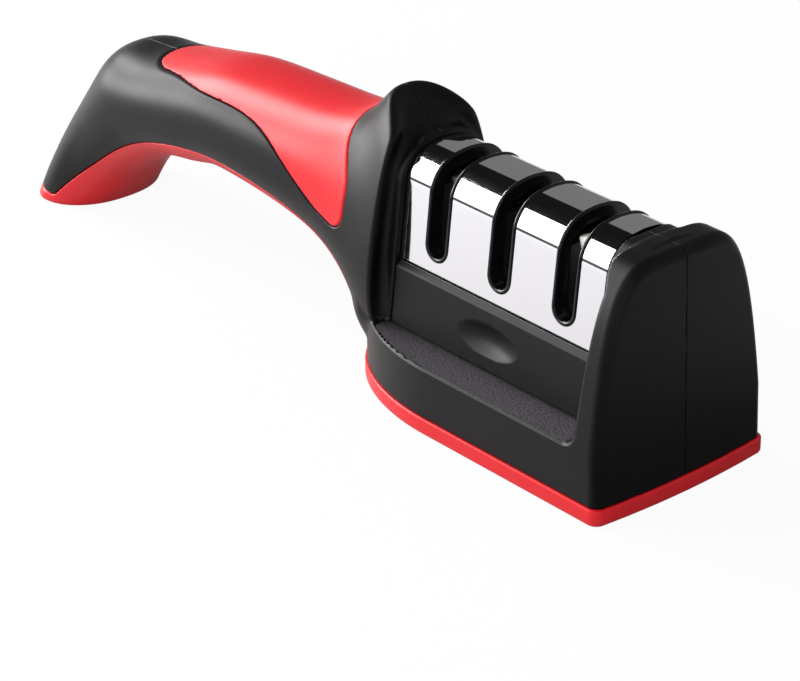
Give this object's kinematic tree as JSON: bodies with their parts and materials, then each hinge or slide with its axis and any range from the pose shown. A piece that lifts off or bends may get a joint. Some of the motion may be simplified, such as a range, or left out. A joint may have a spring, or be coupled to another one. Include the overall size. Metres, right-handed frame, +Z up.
{
  "type": "pull-through knife sharpener",
  "caption": "Hand-held manual knife sharpener: arched handle with soft grips, base on a non-slip sole, and a lift-out head whose slots hold crossed rods and blades.",
  "frame": {"origin": "centre of the bounding box, on the flat bottom of the sole and the tail", "axes": "+X points to the nose, -X to the tail of the handle, +Y to the right as seen by someone facing the nose, +Z up; the seam between the two body shells is the plane Y = 0"},
  "size_m": [0.2068, 0.0478, 0.0608],
  "materials": {
    "black_abs": "satin moulded ABS, black",
    "grained_abs": "spark-eroded leather-like grain, black",
    "inner_abs": "plain moulded ABS, black",
    "gloss_abs": "gloss moulded ABS, black",
    "red_soft_grip": "matt soft-touch thermoplastic rubber, red",
    "polished_steel": "mirror-polished stainless steel sheet",
    "diamond_grit": "steel rod plated with diamond grit",
    "tungsten_carbide": "ground tungsten carbide",
    "white_ceramic": "fired alumina ceramic, off-white; gloss_plastic stands in for ceramic",
    "zinc_screw": "bright zinc plating"
  },
  "bodies": {
    "base": {"body_shell_left": "black_abs", "body_shell_right": "black_abs", "saddle_grip": "red_soft_grip", "under_grip": "red_soft_grip", "non_slip_sole": "red_soft_grip", "base_plate": "inner_abs", "base_screws": "zinc_screw", "handle_screws": "zinc_screw", "pocket_tray": "grained_abs"},
    "head": {"head_cover": "polished_steel", "head_housing_left": "black_abs", "head_housing_right": "black_abs", "head_bottom_plate": "inner_abs", "head_screws": "zinc_screw", "slot_liner_rear": "gloss_abs", "slot_liner_middle": "gloss_abs", "slot_liner_front": "gloss_abs", "diamond_rod_left": "diamond_grit", "diamond_rod_right": "diamond_grit", "carbide_blade_left": "tungsten_carbide", "carbide_blade_right": "tungsten_carbide", "ceramic_rod_left": "white_ceramic", "ceramic_rod_right": "white_ceramic", "diamond_rod_holder": "inner_abs", "carbide_blade_holder": "inner_abs", "ceramic_rod_holder": "inner_abs", "blade_screws": "zinc_screw"}
  },
  "joints": [
    {"name": "head_lift", "type": "slide", "parent": "base", "child": "head", "axis": [0, 0, 1], "range_m": [0, 0.05]}
  ]
}
